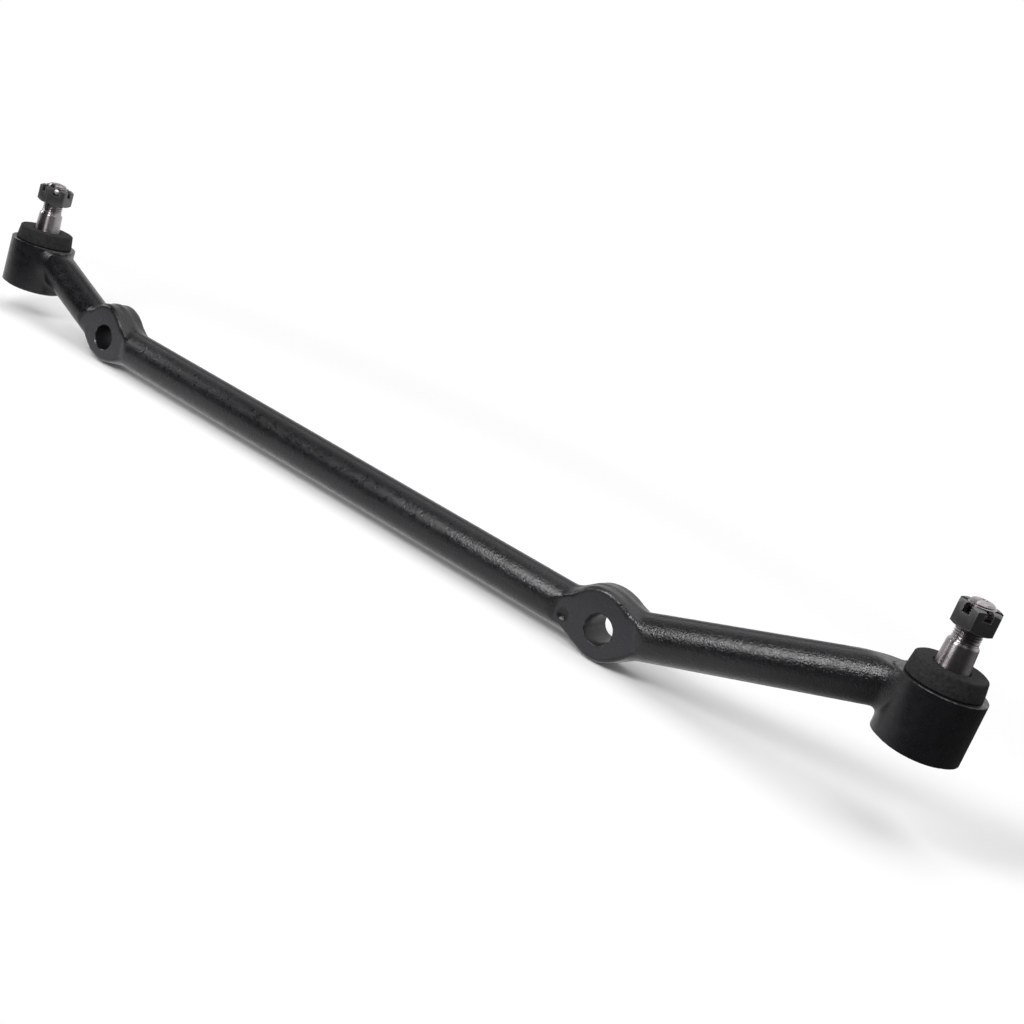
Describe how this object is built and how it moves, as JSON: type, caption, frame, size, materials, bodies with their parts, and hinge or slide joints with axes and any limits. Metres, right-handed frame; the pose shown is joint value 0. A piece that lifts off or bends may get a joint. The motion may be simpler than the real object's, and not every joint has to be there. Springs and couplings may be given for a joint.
{
  "type": "steering center link",
  "caption": "Forged steering link with raised arms, a swivelling ball stud in a socket at each end, and two flattened eyes for tie rods.",
  "frame": {"origin": "centre of the left tie-rod hole, half way through the eye and 0.9 mm above the middle bar's axis", "axes": "+X along the middle bar towards the right tie-rod hole, +Z along the ball studs, away from the sockets, +Y through the eyes towards their back faces"},
  "size_m": [0.6957, 0.0416, 0.1157],
  "materials": {
    "painted_forging": "satin black paint over as-forged skin",
    "turned_steel": "fine turned",
    "black_oxide": "black oxide, oiled",
    "foam_rubber": "matte, fine pores",
    "sintered_seat": "greased",
    "spring_steel": "plain",
    "painted_cover": "satin black paint"
  },
  "bodies": {
    "link": {"link_forging": "painted_forging", "right_upper_seat": "sintered_seat", "right_preload_spring": "spring_steel", "right_cover_plate": "painted_cover", "left_upper_seat": "sintered_seat", "left_preload_spring": "spring_steel", "left_cover_plate": "painted_cover"},
    "right_collar": {"right_lower_seat": "sintered_seat", "right_dust_seal": "foam_rubber"},
    "right_stud": {"right_ball_stud": "turned_steel", "right_slotted_nut": "black_oxide"},
    "left_collar": {"left_lower_seat": "sintered_seat", "left_dust_seal": "foam_rubber"},
    "left_stud": {"left_ball_stud": "turned_steel", "left_slotted_nut": "black_oxide"}
  },
  "joints": [
    {"name": "right_swivel", "type": "hinge", "parent": "link", "child": "right_collar", "pos_m": [0.5614, 0, 0.04265], "axis": [0, 0, 1], "continuous": true},
    {"name": "right_tilt", "type": "hinge", "parent": "right_collar", "child": "right_stud", "pos_m": [0.5614, 0, 0.04265], "axis": [0, 1, 0], "range_deg": [-18, 18], "deforming": ["right_dust_seal"]},
    {"name": "left_swivel", "type": "hinge", "parent": "link", "child": "left_collar", "pos_m": [-0.0927, 0, 0.01955], "axis": [0, 0, 1], "continuous": true},
    {"name": "left_tilt", "type": "hinge", "parent": "left_collar", "child": "left_stud", "pos_m": [-0.0927, 0, 0.01955], "axis": [0, 1, 0], "range_deg": [-18, 18], "deforming": ["left_dust_seal"]}
  ]
}
